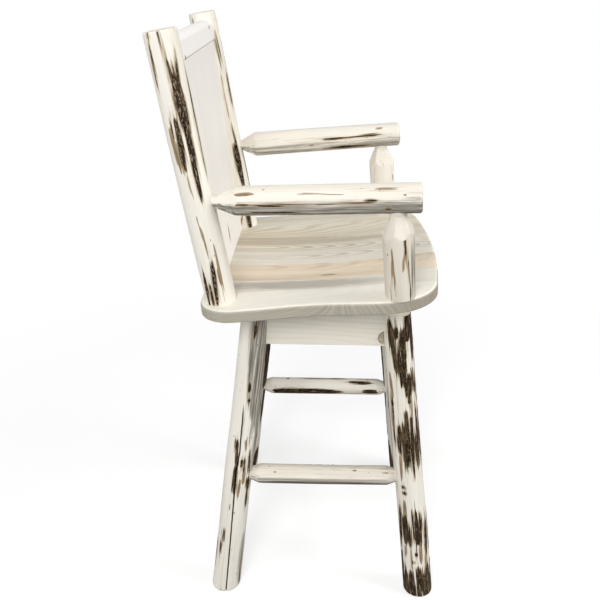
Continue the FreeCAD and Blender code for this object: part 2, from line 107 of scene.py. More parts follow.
# Shape of the logs
PHASE = 6.28
WAVES_AROUND = (1, 2, 3, 5)
WAVES_ALONG = (4, 16)         # least and most, in radians per metre
WAVE_HEIGHT = 0.0008
FACET_TURN_ERROR = 0.05       # most that a pared facet is turned, in radians
FACET_SLOPE_ERROR = 0.07      # most that its slope is off, as a share
FACET_COSINE = 0.2            # how far round the log a facet reaches
UNCUT = 1.0                   # limit where nothing is pared
CRACK_FADE = 0.03             # length over which a crack opens
CRACK_SLIT_MM = 0.12          # half width where it is closed
CRACK_STEEP = 5               # depth of a crack for its half width
CRACK_DEEPEST = 0.007
BARK_RISE = 0.0008
BARK_LUMP = 0.0005
BARK_LUMP_SCALE = (210, 210, 60)
GRAIN_START = 3.7             # step along the grain from one log's texture to the next

# Fields of bark, stains and weathering on the logs; in places the weathering is painted shade
EDGE_MM = 5.0                 # distance over which a field goes from 0 to 1 across the log
GREY_EDGE_MM = 9.0            # the same for weathering and painted shade, which have softer edges
END_MM = 40.0                 # the same past the ends of a streak
FIELD_TOP = 0.75              # highest value inside a streak, low enough for slits of bare wood
FIELD_LOW = -2.0              # lowest value outside the streaks, where the wood is bare
FIELD_CUT = -0.6              # highest value of bark on cut ends and tenons
GREY_TOP = 1.3                # highest value of the weathering and painted shade
GREY_SPREAD = 0.3             # how far weathering and painted shade reach past their streaks
RELIEF_START = 0.2            # how far below 0 the field of bark starts to rise
NARROWEST = 1e-6
HIDDEN_LENGTHS = (40, 210)    # streaks on the hidden sides, in mm
HIDDEN_DRIFT = 12             # degrees
HIDDEN_BARK_HALVES = (2, 8)   # half widths in mm
HIDDEN_STAIN_HALVES = (1, 2)


def seat_point(x, y, z):
    """A point given in the seat's frame."""
    sin, cos = math.sin(SEAT_TILT), math.cos(SEAT_TILT)
    return Vector((x, AXIS_Y + y * cos + z * sin, SEAT_HEIGHT - y * sin + z * cos))


def leg_half(z):
    """Half of the spacing between the leg axes at a height."""
    return LEG_FOOT_HALF + (LEG_TOP_HALF - LEG_FOOT_HALF) * z / BASE_TOP


def leg_r(z):
    """Radius of a leg at a height."""
    return LEG_FOOT_R + (LEG_TOP_R - LEG_FOOT_R) * z / BASE_TOP


# Node helpers

class Shade:
    """A material and short ways to add nodes to it."""

    def __init__(self, name):
        self.material = bpy.data.materials.new(name)
        self.material.use_nodes = True
        self.tree = self.material.node_tree
        self.shader = self.tree.nodes["Principled BSDF"]

    def put(self, socket, value):
        """Sets a socket to a constant or links it to another socket."""
        if isinstance(value, bpy.types.NodeSocket):
            self.tree.links.new(value, socket)
        else:
            socket.default_value = value

    def set(self, **inputs):
        """Sets sockets of the shader; an underscore in a name stands for a space."""
        for name, value in inputs.items():
            self.put(self.shader.inputs[name.replace("_", " ")], value)

    def math(self, operation, a, b=0.0):
        node = self.tree.nodes.new("ShaderNodeMath")
        node.operation = operation
        self.put(node.inputs[0], a)
        self.put(node.inputs[1], b)
        return node.outputs[0]

    def vector(self, operation, a, b=(0, 0, 0)):
        node = self.tree.nodes.new("ShaderNodeVectorMath")
        node.operation = operation
        self.put(node.inputs[0], a)
        self.put(node.inputs[1], b)
        return node.outputs["Value" if operation == "LENGTH" else "Vector"]

    def noise(self, vector, detail=3.0, rough=0.5):
        node = self.tree.nodes.new("ShaderNodeTexNoise")
        self.put(node.inputs["Vector"], vector)
        node.inputs["Scale"].default_value = 1.0
        node.inputs["Detail"].default_value = detail
        node.inputs["Roughness"].default_value = rough
        return node.outputs["Fac"]

    def grain_noise(self, grain, across, along, detail=3.0, rough=0.5):
        """Noise drawn out along the third axis of the grain, in cycles per metre."""
        return self.noise(self.vector("MULTIPLY", grain, (across, across, along)), detail, rough)

    def swayed(self, value, *sways):
        """A value with noises added, each about its middle and times a weight."""
        for sway, weight in sways:
            sway = self.math("MULTIPLY", self.math("SUBTRACT", sway, 0.5), weight)
            value = self.math("ADD", value, sway)
        return value

    def noise_vector(self, vector, detail=2.0):
        node = self.tree.nodes.new("ShaderNodeTexNoise")
        self.put(node.inputs["Vector"], vector)
        node.inputs["Scale"].default_value = 1.0
        node.inputs["Detail"].default_value = detail
        return node.outputs["Color"]

    def step(self, value, low, high, to_low=0.0, to_high=1.0):
        """A smooth step from low to high."""
        node = self.tree.nodes.new("ShaderNodeMapRange")
        node.interpolation_type = "SMOOTHSTEP"
        self.put(node.inputs["Value"], value)
        for key, number in (("From Min", low), ("From Max", high), ("To Min", to_low), ("To Max", to_high)):
            self.put(node.inputs[key], number)
        return node.outputs["Result"]

    def mix(self, share, a, b):
        """Colour a, going to colour b."""
        node = self.tree.nodes.new("ShaderNodeMix")
        node.data_type = "RGBA"
        self.put(node.inputs[0], share)
        self.put(node.inputs[6], a if isinstance(a, bpy.types.NodeSocket) else (*a, 1))
        self.put(node.inputs[7], b if isinstance(b, bpy.types.NodeSocket) else (*b, 1))
        return node.outputs[2]

    def tint(self, colour, other, value, low, high, share=1.0):
        """A colour, going to another by a share as a value goes from low to high."""
        return self.mix(self.step(value, low, high, 0, share), colour, other)

    def attribute(self, name, output="Fac"):
        node = self.tree.nodes.new("ShaderNodeAttribute")
        node.attribute_name = name
        return node.outputs[output]

    def place(self):
        return self.tree.nodes.new("ShaderNodeTexCoord").outputs["Object"]

    def parts(self, vector):
        node = self.tree.nodes.new("ShaderNodeSeparateXYZ")
        self.put(node.inputs[0], vector)
        return node.outputs

    def join(self, x, y, z):
        node = self.tree.nodes.new("ShaderNodeCombineXYZ")
        for socket, value in zip(node.inputs, (x, y, z)):
            self.put(socket, value)
        return node.outputs[0]

    def bump(self, height, distance, strength=1.0):
        node = self.tree.nodes.new("ShaderNodeBump")
        node.inputs["Strength"].default_value = strength
        node.inputs["Distance"].default_value = distance
        self.put(node.inputs["Height"], height)
        self.put(self.shader.inputs["Normal"], node.outputs["Normal"])


# Wood tones
CREAM = (0.86, 0.815, 0.72)
IVORY = (0.88, 0.845, 0.765)
STRAW = (0.76, 0.69, 0.56)
GREY_WOOD = (0.30, 0.275, 0.23)
DARKEST_GREY_AND_SHADE = (0.075, 0.066, 0.052)
TAN_WOOD = (0.60, 0.52, 0.40)
DULL_WOOD = (0.62, 0.57, 0.485)
PIT_DARK = (0.085, 0.06, 0.04)
BARK_DARK = (0.012, 0.007, 0.004)
BARK_MID = (0.056, 0.034, 0.018)
BARK_PALE = (0.17, 0.115, 0.060)
BARK_FLECK = (0.28, 0.23, 0.175)
INNER_BARK = (0.24, 0.145, 0.050)
FRINGE = (0.34, 0.245, 0.125)
CRACK_DARK = (0.022, 0.014, 0.008)
HAIR_LINE = (0.36, 0.28, 0.19)
END_GRAIN = (0.84, 0.79, 0.69)
END_RING = (0.76, 0.70, 0.58)
RING_STEP = 0.0026
RING_WANDER = 0.004
WOOD_ROUGH = 0.62
BARK_ROUGH = 0.95
LOG_SPECULAR = 0.12
LOG_RELIEF = 0.0012
LOG_RELIEF_STRENGTH = 0.7


def log_material():
    """Peeled pine: cream wood, weathering with painted shade in places, inner bark stains, bark left on, a
    drying crack and end grain.
    """
    m = Shade("log_pine")
    grain = m.attribute("grain", "Vector")
    bark = m.attribute("bark")
    stain = m.attribute("stain")
    grey = m.attribute("grey")
    crack = m.attribute("crack")
    end = m.attribute("end")
    flecked = m.attribute("flecked")
    tanned = m.attribute("tanned")
    rough = m.attribute("rough")

    broad = m.grain_noise(grain, 30, 3, 3)
    streak = m.grain_noise(grain, 210, 6, 4, 0.6)
    fine = m.grain_noise(grain, 600, 22, 3, 0.6)
    ragged = m.grain_noise(grain, 260, 9, 3, 0.6)
    coarse = m.grain_noise(grain, 75, 8, 2, 0.5)
    speck = m.grain_noise(grain, 420, 190, 3, 0.6)
    flake = m.grain_noise(grain, 330, 150, 2, 0.55)
    hair = m.grain_noise(grain, 150, 2.4, 2, 0.5)
    clump = m.grain_noise(grain, 170, 55, 3, 0.6)
    pit = m.grain_noise(grain, 200, 90, 0)

    # bare wood
    wood = m.tint(IVORY, CREAM, broad, 0.35, 0.70)
    dulled = m.math("MULTIPLY", tanned, m.step(broad, 0.30, 0.62, 0.55, 1.0))
    wood = m.mix(dulled, wood, DULL_WOOD)
    wood = m.tint(wood, STRAW, streak, 0.52, 0.76, 0.55)
    wood = m.tint(wood, STRAW, fine, 0.54, 0.74, 0.30)
    wood = m.tint(wood, PIT_DARK, pit, 0.815, 0.85, 0.70)
    hair_line = m.step(m.math("ABSOLUTE", m.math("SUBTRACT", hair, 0.5)), 0.004, 0.012, 1, 0)
    hair_line = m.math("MULTIPLY", hair_line, m.step(broad, 0.48, 0.60, 0, 0.50))
    wood = m.mix(hair_line, wood, HAIR_LINE)

    # weathering, in places painted shade, and stains
    weather_and_shade = m.swayed(grey, (streak, 2.6), (fine, 1.2))
    wood = m.tint(wood, GREY_WOOD, weather_and_shade, 0.10, 0.95, 0.92)
    # the darkest grey where the field is strongest: deep weathering, and painted shade on undersides and
    # shaded sides
    wood = m.tint(wood, DARKEST_GREY_AND_SHADE, weather_and_shade, 0.70, 1.40, 0.80)
    stained = m.swayed(stain, (ragged, 2.0))
    wood = m.tint(wood, INNER_BARK, stained, -0.08, 0.16, 0.85)
    wood = m.tint(wood, BARK_MID, stained, 0.35, 0.70, 0.45)

    # bark and the fringe around it
    ripple = m.swayed(0.0, (ragged, 4.2), (coarse, 1.4), (fine, 1.8))
    barked = m.math("ADD", bark, m.math("MULTIPLY", ripple, rough))
    wood = m.tint(wood, TAN_WOOD, barked, -1.00, -0.10, 0.35)
    wood = m.tint(wood, FRINGE, barked, -0.50, 0.00, 0.80)
    skin = m.tint(BARK_DARK, BARK_MID, speck, 0.43, 0.57)
    skin = m.tint(skin, BARK_PALE, coarse, 0.50, 0.64, 0.45)
    flaked = m.math("MULTIPLY", m.step(flake, 0.50, 0.60), m.step(flecked, 0, 1, 0.35, 0.85))
    skin = m.mix(flaked, skin, m.mix(flecked, BARK_PALE, BARK_FLECK))
    skin = m.tint(skin, BARK_DARK, clump, 0.44, 0.60, 0.72)
    is_bark = m.step(barked, -0.04, 0.14)
    colour = m.mix(is_bark, wood, skin)

    # end grain and the crack
    rings = m.vector("LENGTH", m.vector("MULTIPLY", grain, (1, 1, 0)))
    rings = m.math("ADD", rings, m.math("MULTIPLY", broad, RING_WANDER))
    rings = m.math("SINE", m.math("MULTIPLY", rings, 2 * math.pi / RING_STEP))
    colour = m.mix(end, colour, m.tint(END_GRAIN, END_RING, rings, 0.0, 1.0))
    colour = m.tint(colour, CRACK_DARK, crack, 0.10, 0.45)

    m.set(Base_Color=colour, Roughness=m.step(is_bark, 0, 1, WOOD_ROUGH, BARK_ROUGH),
          Specular_IOR_Level=LOG_SPECULAR)
    relief = m.math("ADD", m.math("MULTIPLY", streak, 0.5), m.math("MULTIPLY", fine, 0.25))
    flaky = m.math("ADD", 0.3, m.math("MULTIPLY", speck, 1.6))
    relief = m.math("ADD", relief, m.math("MULTIPLY", is_bark, flaky))
    m.bump(relief, LOG_RELIEF, LOG_RELIEF_STRENGTH)
    return m.material


LOG_MATERIAL = log_material()

# Logs: rows of rings from one end to the other
Row = namedtuple("Row", "s inset share fixed end")
Pared = namedtuple("Pared", "taper sides turn tenon_r tenon_len")
Tenon = namedtuple("Tenon", "r length")
Cut = namedtuple("Cut", "rim")


def end_rows(style, s, way):
    """The rows of one end, from its middle outwards; way is 1 at the start of a log and -1 at its end."""
    rows = []
    if isinstance(style, Cut):
        for share in CAP_SHARES:
            rows.append(Row(s, style.rim, share, None, 1.0))
        for number in range(RIM_STEPS):
            turn = math.pi / 2 * number / RIM_STEPS
            depth = style.rim * (1 - math.cos(turn))
            inset = style.rim * (1 - math.sin(turn))
            rows.append(Row(s + way * depth, inset, 1.0, None, 1.0 if number == 0 else 0.0))
        return rows
    tenon_r = style.tenon_r if isinstance(style, Pared) else style.r
    length = style.tenon_len if isinstance(style, Pared) else style.length
    for share in (*CAP_SHARES, 1.0):
        rows.append(Row(s - way * length, 0.0, share, tenon_r, 1.0))
    rows.append(Row(s - way * length / 2, 0.0, 1.0, tenon_r, 0.0))
    rows.append(Row(s, 0.0, 1.0, tenon_r, 0.0))
    return rows


def log_rows(ends, length):
    """All the rows of a log."""
    first, last = ends
    low = first.rim if isinstance(first, Cut) else 0.0
    high = length - (last.rim if isinstance(last, Cut) else 0.0)
    count = int(round((high - low) / ROW_STEP))
    rows = end_rows(first, 0.0, 1)
    for number in range(count + 1):
        rows.append(Row(low + (high - low) * number / count, 0.0, 1.0, None, 0.0))
    rows += reversed(end_rows(last, length, -1))
    return rows


def row_values(rows, key):
    """One value of all rows, as an upright array."""
    return np.array([getattr(row, key) for row in rows])[:, None]


def facet_limit(style, radius, depth, angles, rng):
    """How far out a pared point leaves the wood, at a depth behind the point."""
    tip = style.tenon_r * math.cos(math.pi / style.sides)
    limit = np.full(np.broadcast(depth, angles).shape, UNCUT)
    for side in range(style.sides):
        turn = rng.uniform(-FACET_TURN_ERROR, FACET_TURN_ERROR)
        middle = style.turn + 2 * math.pi * side / style.sides + turn
        slope = (radius - tip) / (style.taper * rng.uniform(1 - FACET_SLOPE_ERROR, 1 + FACET_SLOPE_ERROR))
        apothem = tip + slope * np.maximum(depth, 0.0)
        cosine = np.cos(angles - middle)
        reach = np.where(cosine > FACET_COSINE, apothem / np.maximum(cosine, FACET_COSINE), UNCUT)
        limit = np.minimum(limit, reach)
    return limit


def wrapped(angles):
    """Angles brought between minus and plus half a turn."""
    return (angles + math.pi) % (2 * math.pi) - math.pi


def streak_field(s, angles, radius, streaks, edge_mm=EDGE_MM, top=FIELD_TOP):
    """Above 0 inside spindle-shaped streaks, 0 at their edges, less outside them."""
    field = np.full(np.broadcast(s, angles).shape, FIELD_LOW)
    for s0, a0, s1, a1, half in streaks:
        share = (s / MM - s0) / (s1 - s0)
        inside = np.clip(share, 0.0, 1.0)
        middle = np.radians(a0 + (a1 - a0) * inside)
        aside = np.abs(wrapped(angles - middle)) * radius / MM
        width = half * np.sqrt(np.maximum(4 * inside * (1 - inside), NARROWEST))
        past = np.abs(share - inside) * abs(s1 - s0)
        value = (width - aside) / edge_mm - past / END_MM
        field = np.maximum(field, np.clip(value, FIELD_LOW, top))
    return field


def along(points, s):
    """A value between control points (s in mm, value)."""
    known = sorted(points)
    return np.interp(s / MM, [p[0] for p in known], [p[1] for p in known])


def hidden_streaks(rng, count, top, first, last, halves):
    """Streaks for the sides that the photograph doesn't show."""
    streaks = []
    for _ in range(count):
        length = rng.uniform(*HIDDEN_LENGTHS)
        s0 = rng.uniform(0.0, max(1.0, top - length))
        angle = rng.uniform(first, last)
        drift = rng.uniform(-HIDDEN_DRIFT, HIDDEN_DRIFT)
        streaks.append((s0, angle, s0 + length, angle + drift, rng.uniform(*halves)))
    return streaks


def crack_openness(s, crack, at_cut):
    """How far open a drying crack is, from 0 to 1; it closes at its ends, but not at a cut one."""
    low = min(p[0] for p in crack) * MM
    high = max(p[0] for p in crack) * MM
    left = high - s
    if low > 0 or not at_cut:
        left = np.minimum(s - low, left)
    return np.clip(left / CRACK_FADE, 0, 1)


def column_angles(s, plain_r, crack, half_mm):
    """Angles of the columns in each row: three over the crack, the others spread evenly."""
    middle = np.radians(along(crack, s))
    half = half_mm * MM / plain_r
    number = np.arange(COLUMNS - 3)[None, :] + 1
    others = middle + half + number * (2 * math.pi - 2 * half) / (COLUMNS - 2)
    return np.concatenate([middle - half, middle, middle + half, others], axis=1)


def waved(plain_r, s, angles, rng):
    """The slightly uneven radius of a peeled log."""
    wobble = 0
    for k in WAVES_AROUND:
        around = rng.uniform(0, PHASE)
        pace = rng.uniform(*WAVES_ALONG)
        lengthwise = rng.uniform(0, PHASE)
        wobble = wobble + np.sin(k * angles + around) * np.sin(pace * s + lengthwise) / k
    return plain_r + wobble * WAVE_HEIGHT


def hewn(surface, angles, flats):
    """A radius with flats cut along the log; each has its middle and half turn in degrees."""
    for middle, half_turn in flats:
        aside = wrapped(angles - math.radians(middle))
        inside = np.abs(aside) < math.radians(half_turn)
        chord = surface * math.cos(math.radians(half_turn)) / np.cos(np.where(inside, aside, 0.0))
        surface = np.where(inside, chord, surface)
    return surface


def end_lean(normal, axis, e0, e1, angles):
    """How far an end leans along the log for each unit of radius, to lie square to a normal."""
    if normal is None:
        return np.zeros_like(angles)
    lean = np.cos(angles) * e0.dot(normal) + np.sin(angles) * e1.dot(normal)
    return -lean / axis.dot(normal)


def make_log(name, body, start, way, length, radii, ends, hint, side_hint, seed, planes=(None, None),
             bark=(), stain=(), grey=(), crack=((0, 180), (100, 180)), crack_width=0.5, hidden=(6, 100, 260),
             age=-0.30, flecked=0.3, tanned=0.12, rough=0.7, flats=(), grey_top=GREY_TOP):
    """A log as a closed mesh with its own bark, marks and painted shade, which stands for the CAD node of the
    same name.
    """
    rng = random.Random(seed)
    axis = way.normalized()
    e0 = (hint - axis * hint.dot(axis)).normalized()
    e1 = axis.cross(e0)
    right_handed = e1.dot(side_hint) > 0
    if not right_handed:
        e1 = -e1

    rows = log_rows(ends, length)
    s = row_values(rows, "s")
    share = row_values(rows, "share")
    end = row_values(rows, "end")
    fixed = np.array([-1.0 if row.fixed is None else row.fixed for row in rows])[:, None]
    part = np.clip(s / length, 0, 1)
    plain_r = radii[0] + (radii[1] - radii[0]) * part
    openness = crack_openness(s, crack, isinstance(ends[0], Cut))
    angles = column_angles(s, plain_r, crack, CRACK_SLIT_MM + crack_width * openness)

    # the radius, with flats and pared points
    surface = hewn(waved(plain_r, s, angles, rng), angles, flats)
    pared = np.full(surface.shape, False)
    for style, depth, radius in zip(ends, (s, length - s), radii):
        if isinstance(style, Pared):
            limit = facet_limit(style, radius, depth, angles, rng)
            pared = pared | (limit < surface)
            surface = np.minimum(surface, limit)

    # bark, stains and weathering
    top = length / MM
    count, first, last = hidden
    unseen = hidden_streaks(rng, count, top, first, last, HIDDEN_BARK_HALVES)
    bark_field = streak_field(s, angles, plain_r, list(bark) + unseen)
    unseen = hidden_streaks(rng, 2 * count, top, first, last, HIDDEN_STAIN_HALVES)
    stain_field = streak_field(s, angles, plain_r, list(stain) + unseen)
    grey_field = streak_field(s, angles, plain_r, grey, GREY_EDGE_MM, grey_top)
    grey_field = age + np.clip(GREY_SPREAD + grey_field, 0, grey_top)
    bare = (end > 0) | (fixed > 0)
    bark_field = np.where(pared, FIELD_LOW, bark_field)
    bark_field = np.where(bare, np.minimum(bark_field, FIELD_CUT), bark_field)
    stain_field = np.where(pared | bare, FIELD_LOW, stain_field)

    # the crack, the relief of the bark and the lean of the ends
    cracked = np.zeros_like(surface)
    cracked[:, 1] = 1.0
    cracked = cracked * openness * (fixed < 0)
    depth = cracked * min(CRACK_DEEPEST, CRACK_STEEP * crack_width * MM)
    relief = np.clip(bark_field + RELIEF_START, 0, 1) * BARK_RISE
    r = np.where(fixed > 0, fixed, surface - row_values(rows, "inset") - depth + relief) * share
    leans = [end_lean(normal, axis, e0, e1, angles) for normal in planes]
    shift = r * ((1 - part) * leans[0] + part * leans[1])

    out = np.cos(angles)[..., None] * np.array(e0) + np.sin(angles)[..., None] * np.array(e1)
    points = np.array(start) + (s + shift)[..., None] * np.array(axis) + r[..., None] * out
    across, upright, lengthwise = BARK_LUMP_SCALE
    for i, j in zip(*np.nonzero(bark_field > 0)):
        x, y, z = points[i, j]
        rise = noise.noise(Vector((x * across + seed, y * upright, z * lengthwise)))
        points[i, j] += out[i, j] * rise * BARK_LUMP * share[i, 0]

    mesh = rings_mesh(name, points, right_handed)
    grain = (r * np.cos(angles), r * np.sin(angles), np.broadcast_to(s + GRAIN_START * seed, r.shape))
    keep = kept_points(points)
    vector = mesh.attributes.new("grain", "FLOAT_VECTOR", "POINT")
    vector.data.foreach_set("vector", np.stack(grain, axis=-1).reshape(-1, 3)[keep].ravel())
    fields = {"bark": bark_field, "stain": stain_field, "grey": grey_field, "crack": cracked, "end": end,
              "flecked": flecked, "tanned": tanned, "rough": rough}
    for key, values in fields.items():
        attribute = mesh.attributes.new(key, "FLOAT", "POINT")
        attribute.data.foreach_set("value", np.broadcast_to(values, r.shape).reshape(-1)[keep])
    piece = bpy.data.objects.new("log." + name, mesh)
    scene.collection.objects.link(piece)
    mesh.materials.append(LOG_MATERIAL)
    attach(piece, body)
    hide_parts(name)


def kept_points(points):
    """Places of the vertices in the grid of rows and columns: one vertex for each of the two end rows."""
    rows, columns = points.shape[:2]
    inner = np.arange(columns, (rows - 1) * columns)
    return np.concatenate([[0], inner, [(rows - 1) * columns]])


def rings_mesh(name, points, right_handed):
    """A closed mesh through rings of points, with a single vertex at each end."""
    rows, columns = points.shape[:2]
    vertices = points.reshape(-1, 3)[kept_points(points)]
    last = len(vertices) - 1

    def at(row, column):
        return 1 + (row - 1) * columns + column % columns

    faces = []
    for column in range(columns):
        faces.append((0, at(1, column + 1), at(1, column)))
        faces.append((last, at(rows - 2, column), at(rows - 2, column + 1)))
    for row in range(1, rows - 2):
        for column in range(columns):
            faces.append((at(row, column), at(row, column + 1), at(row + 1, column + 1), at(row + 1, column)))
    if not right_handed:
        faces = [tuple(reversed(face)) for face in faces]
    mesh = bpy.data.meshes.new("log." + name)
    mesh.from_pydata(vertices.tolist(), [], faces)
    mesh.shade_smooth()
    mesh.set_sharp_from_angle(angle=FACET_ANGLE)
    return mesh


# Streaks: mm and degrees at the start, mm and degrees at the end, half width in mm
# Legs: mm from the floor, degrees from the side nearest the camera towards the front
FRONT_RIGHT_BARK = (
    # below the seat
    (634, 36, 720, 53, 11), (612, -27, 684, -33, 6.5), (566, -16, 648, -30, 5.0), (640, -14, 668, -8, 5),
    (530, 5, 668, 16, 9), (500, 24, 558, 18, 6), (515, 36, 565, 28, 6), (585, 60, 690, 62, 6),
    (515, 62, 576, 52, 5), (590, 84, 720, 86, 9), (466, 88, 610, 88, 5), (484, -49, 497, -49, 4),
    (493, 24, 507, 24, 4), (478, -91, 560, -91, 2.5),
    # middle
    (352, -12, 450, -8, 6), (340, 4, 480, 6, 7), (330, 20, 462, 24, 5), (370, -31, 440, -31, 5),
    (335, 50, 480, 52, 7), (398, -53, 481, -49, 2), (327, -91, 469, -91, 4), (330, 76, 484, 84, 8),
    (268, -26, 280, -26, 3.4), (283, -28, 293, -28, 2.8), (345, 30, 420, 32, 4),
    # lower
    (138, -38, 220, -34, 8), (140, 11, 236, 12, 9), (146, 0, 238, 2, 4), (140, 24, 232, 27, 5),
    (108, 50, 210, 60, 6), (122, -65, 240, -55, 6), (112, 82, 220, 88, 8), (136, -14, 190, -14, 4),
    # foot
    (-30, -54, 66, -50, 10), (-30, -26, 74, -20, 6), (-30, 3, 86, 8, 9), (-30, 28, 66, 30, 6),
    (-30, 50, 88, 51, 9), (-30, -84, 116, -66, 8), (-30, 84, 94, 84, 12), (-30, 120, 90, 120, 14),
    (-30, -150, 60, -150, 14), (112, 2, 122, 2, 3.2), (90, -12, 101, -12, 3.4))
FRONT_RIGHT_STAIN = (
    (500, -44, 566, -54, 4.5), (303, -34, 385, -29, 4), (177, -35, 258, -29, 6), (90, 20, 148, 23, 4.5),
    (430, -62, 520, -58, 3), (60, 44, 140, 48, 4), (70, -20, 130, -16, 3), (440, 34, 520, 36, 3),
    (477, -91, 559, -91, 3), (310, 30, 372, 34, 1.8), (300, 16, 345, 18, 1.4), (100, -44, 140, -40, 4))
REAR_RIGHT_BARK = (
    (638, 4, 668, 9, 3.2), (515, 96, 700, 84, 8), (440, 92, 520, 88, 5), (350, 92, 425, 92, 4),
    (513, 10, 538, 7, 2.6), (491, 13, 498, 12, 1.6), (336, -7, 402, -20, 3.2), (262, -6, 334, -11, 5.0),
    (332, 14, 350, 14, 2), (306, 50, 372, 43, 3.4), (262, 52, 304, 51, 5), (222, 54, 276, 50, 3.6),
    (318, 22, 352, 20, 2.6), (134, -33, 172, -34, 3.8), (98, -42, 134, -43, 3.2), (70, -80, 136, -88, 2.4),
    (8, 70, 44, 68, 2), (50, -122, 290, -112, 9), (330, -128, 610, -116, 10), (430, -104, 560, -106, 5))
REAR_RIGHT_STAIN = (
    (372, 23, 402, 18, 3.6), (286, 26, 332, 26, 5.0), (255, 10, 305, 14, 4.0), (220, -18, 238, -19, 1.6),
    (100, -40, 172, -34, 3.2), (268, -16, 326, -18, 2))
# Weathering on the rear leg; the widest streaks, high on the side turned to the front, are painted shade as
# well
REAR_RIGHT_GREY_AND_SHADE = (
    (420, 60, 800, 38, 34), (380, 78, 700, 84, 24), (50, -78, 140, -78, 10), (0, 64, 160, 60, 10),
    (380, 34, 470, 46, 6), (300, 70, 440, 76, 12))
REAR_RIGHT_CRACK = (
    (490, -8), (445, -4), (397, -3), (370, -1), (322, -8), (271, -5), (193, -2), (127, 1), (0, 5))


def make_leg(name, side, front, seed, **looks):
    """One leg; side is -1 on the sitter's right, front is -1 at the front."""
    foot = Vector((side * LEG_FOOT_HALF, AXIS_Y + front * LEG_FOOT_HALF, 0))
    top = Vector((side * LEG_TOP_HALF, AXIS_Y + front * LEG_TOP_HALF, BASE_TOP))
    way = top - foot
    make_log("leg_" + name, "base", foot, way, way.length, (LEG_FOOT_R, LEG_TOP_R),
             (Cut(FOOT_ROUND), Cut(LEG_TOP_ROUND)), TOWARDS_CAMERA, FORWARD, seed, planes=(UP, UP), **looks)


make_leg("front_right", -1, -1, 1, bark=FRONT_RIGHT_BARK, stain=FRONT_RIGHT_STAIN, hidden=(12, 100, 262),
         crack=((90, 150), (420, 165)), rough=1.0, age=-0.36)
make_leg("rear_right", -1, 1, 2, bark=REAR_RIGHT_BARK, stain=REAR_RIGHT_STAIN, grey=REAR_RIGHT_GREY_AND_SHADE,
         crack=REAR_RIGHT_CRACK, crack_width=1.7, hidden=(8, 110, 264), age=-0.09, rough=0.9,
         grey_top=0.97)
make_leg("front_left", 1, -1, 3, hidden=(9, 60, 250),
         bark=((120, -96, 700, -92, 13), (-20, -60, 120, -80, 11), (200, -40, 420, -30, 6)))
make_leg("rear_left", 1, 1, 4, hidden=(8, 110, 260),
         bark=((300, 52, 720, 56, 15), (310, 84, 720, 92, 16), (180, 60, 380, 86, 8), (-20, 40, 90, 60, 9),
               (80, -120, 350, -112, 9), (400, -108, 640, -114, 8)))

# Posts: mm from the seat up
POST_RIGHT_BARK = (
    (430, 15, 514, 7, 1.5), (396, 20, 462, 15, 3.0), (380, 30, 478, 48, 2.8), (320, 28, 440, 27, 10),
    (205, 25, 372, 30, 6.0), (266, -8, 365, -3, 5.2), (418, -41, 498, -32, 1.8),
    (327, -24, 376, -14, 1.5), (250, 70, 441, 84, 2.6), (-10, -8, 95, 11, 4.3), (-10, -39, 70, -33, 3.7),
    (-10, -22, 48, -18, 3.4), (496, -30, 512, -30, 2))
POST_RIGHT_STAIN = (
    (263, -26, 352, -32, 5.5), (213, -3, 268, -7, 1.8), (91, 7, 184, -8, 1.5), (2, 27, 128, 32, 2.1),
    (39, 27, 77, 24, 3.4), (150, -30, 176, -32, 1.5), (262, -14, 340, -12, 3))
POST_LEFT_BARK = (
    (386, 49, 452, 42, 1.5), (392, 60, 470, 54, 2.2), (272, 35, 371, 39, 1.3), (138, 48, 262, 40, 2.4),
    (96, 38, 215, 33, 6.8), (84, 96, 205, 95, 6), (-10, 30, 57, 31, 4.8), (300, 72, 372, 76, 3),
    (110, -116, 330, -106, 7), (370, -122, 490, -118, 5))
POST_LEFT_STAIN = (
    (380, 45, 450, 45, 1.6), (230, 32, 330, 38, 2), (-9, -26, 42, 10, 3), (472, -40, 502, -38, 3))


def make_post(name, side, seed, **looks):
    """One back post, standing on the seat with a tenon through it."""
    foot = seat_point(side * POST_HALF, POST_FOOT, 0)
    back = POST_LEN * math.sin(POST_LEAN)
    top = seat_point(side * POST_HALF, POST_FOOT + back, POST_LEN * math.cos(POST_LEAN))
    tenon = Tenon(POST_TENON_R, SEAT_T / math.cos(POST_LEAN))
    make_log("back_post_" + name, "seat", foot, top - foot, POST_LEN, (POST_R, POST_R),
             (tenon, Cut(CUT_ROUND)), TOWARDS_CAMERA, FORWARD, seed, planes=(SEAT_NORMAL, None), **looks)


make_post("right", -1, 5, bark=POST_RIGHT_BARK, stain=POST_RIGHT_STAIN, hidden=(9, 112, 262),
          crack=((60, 165), (400, 172)), flecked=1.0, rough=0.5)
make_post("left", 1, 6, bark=POST_LEFT_BARK, stain=POST_LEFT_STAIN, hidden=(9, 110, 262),
          flecked=1.0, rough=0.5)

# Arms: mm from the post axis forwards, degrees positive upwards
ARM_RIGHT_BARK = (
    (70, 2, 100, 0, 1.3), (106, -3, 205, 1, 1.3), (118, -5, 168, -3, 2.0), (228, 0, 332, 6, 1.3),
    (308, 6, 334, 7, 2.4), (102, -38, 180, -42, 2), (346, -25, 359, -25, 3.6))
ARM_RIGHT_STAIN = (
    (70, 40, 112, 44, 4.2), (183, 38, 236, 40, 2.0), (214, 39, 276, 37, 2.0), (328, 53, 374, 54, 2.2),
    (66, 0, 210, 1, 2.2), (228, 1, 338, 6, 2.2))
